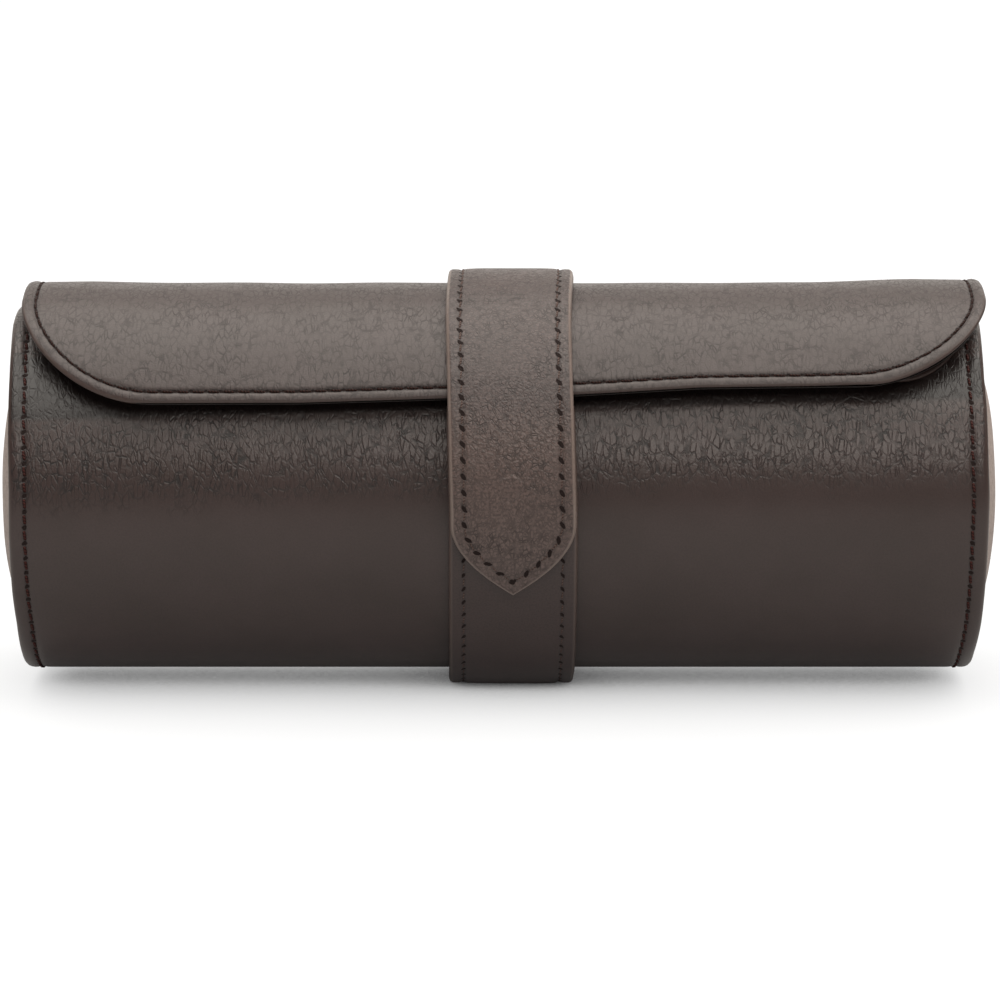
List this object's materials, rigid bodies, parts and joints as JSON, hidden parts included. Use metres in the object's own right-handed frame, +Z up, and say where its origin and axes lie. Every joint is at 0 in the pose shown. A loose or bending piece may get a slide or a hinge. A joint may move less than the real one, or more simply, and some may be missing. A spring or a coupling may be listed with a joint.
{
  "type": "watch travel case",
  "caption": "Leather watch roll: a round case with padded ends, a hinged flap, a strap that goes all round and closes with a press stud, and lift-out cushions.",
  "frame": {"origin": "middle of the case's length, below the barrel's axis, on the flat that the strap rests on", "axes": "+X along the barrel to the right as seen from the front, +Y to the back where the flap is hinged, +Z up"},
  "size_m": [0.2204, 0.0922, 0.092],
  "materials": {
    "pebbled_leather": "pebbled full-grain, satin, dark taupe brown",
    "strap_leather": "fine grained, satin, dark brown",
    "pale_leather": "smooth, padded, pale pinkish cream",
    "suede_lining": "napped microfibre suede",
    "cushion_suede": "napped microfibre suede over foam",
    "fibre_board": "grey-brown fibre board",
    "foam": "soft open foam",
    "plated_steel": "nickel plated"
  },
  "bodies": {
    "barrel": {"barrel_leather": "pebbled_leather", "barrel_board": "fibre_board", "barrel_lining": "suede_lining", "hinge_filler": "fibre_board", "end_board_left": "fibre_board", "end_board_right": "fibre_board", "end_padding_left": "foam", "end_padding_right": "foam", "end_cover_left": "pale_leather", "end_cover_right": "pale_leather", "end_lining_left": "suede_lining", "end_lining_right": "suede_lining", "divider_board_left": "fibre_board", "divider_board_right": "fibre_board", "divider_cover_left": "suede_lining", "divider_cover_right": "suede_lining", "strap_leather": "strap_leather", "strap_filler": "fibre_board", "strap_lining": "strap_leather", "stud": "plated_steel", "stud_post": "plated_steel"},
    "flap": {"flap_leather": "pebbled_leather", "flap_board": "fibre_board", "flap_lining": "suede_lining", "flap_strap_leather": "strap_leather", "flap_strap_filler": "fibre_board", "flap_strap_lining": "strap_leather"},
    "tongue": {"tongue_leather": "strap_leather", "tongue_lining": "strap_leather", "socket": "plated_steel", "socket_cap": "plated_steel", "socket_spring": "plated_steel"},
    "cuff_left": {"cuff_left_core": "foam", "cuff_left_sleeve": "cushion_suede", "cuff_left_panels": "cushion_suede"},
    "cuff_middle": {"cuff_middle_core": "foam", "cuff_middle_sleeve": "cushion_suede", "cuff_middle_panels": "cushion_suede"},
    "cuff_right": {"cuff_right_core": "foam", "cuff_right_sleeve": "cushion_suede", "cuff_right_panels": "cushion_suede"}
  },
  "joints": [
    {"name": "flap_hinge", "type": "hinge", "parent": "barrel", "child": "flap", "pos_m": [0.0026, 0.03852, 0.06895], "axis": [-1, 0, 0], "range_deg": [0, 140]},
    {"name": "tongue_hinge", "type": "hinge", "parent": "flap", "child": "tongue", "pos_m": [0.0026, -0.03962, 0.07168], "axis": [-1, 0, 0], "range_deg": [0, 80]},
    {"name": "cuff_left_lift", "type": "slide", "parent": "barrel", "child": "cuff_left", "axis": [0, 0, 1], "range_m": [0, 0.022]},
    {"name": "cuff_middle_lift", "type": "slide", "parent": "barrel", "child": "cuff_middle", "axis": [0, 0, 1], "range_m": [0, 0.022]},
    {"name": "cuff_right_lift", "type": "slide", "parent": "barrel", "child": "cuff_right", "axis": [0, 0, 1], "range_m": [0, 0.022]}
  ]
}
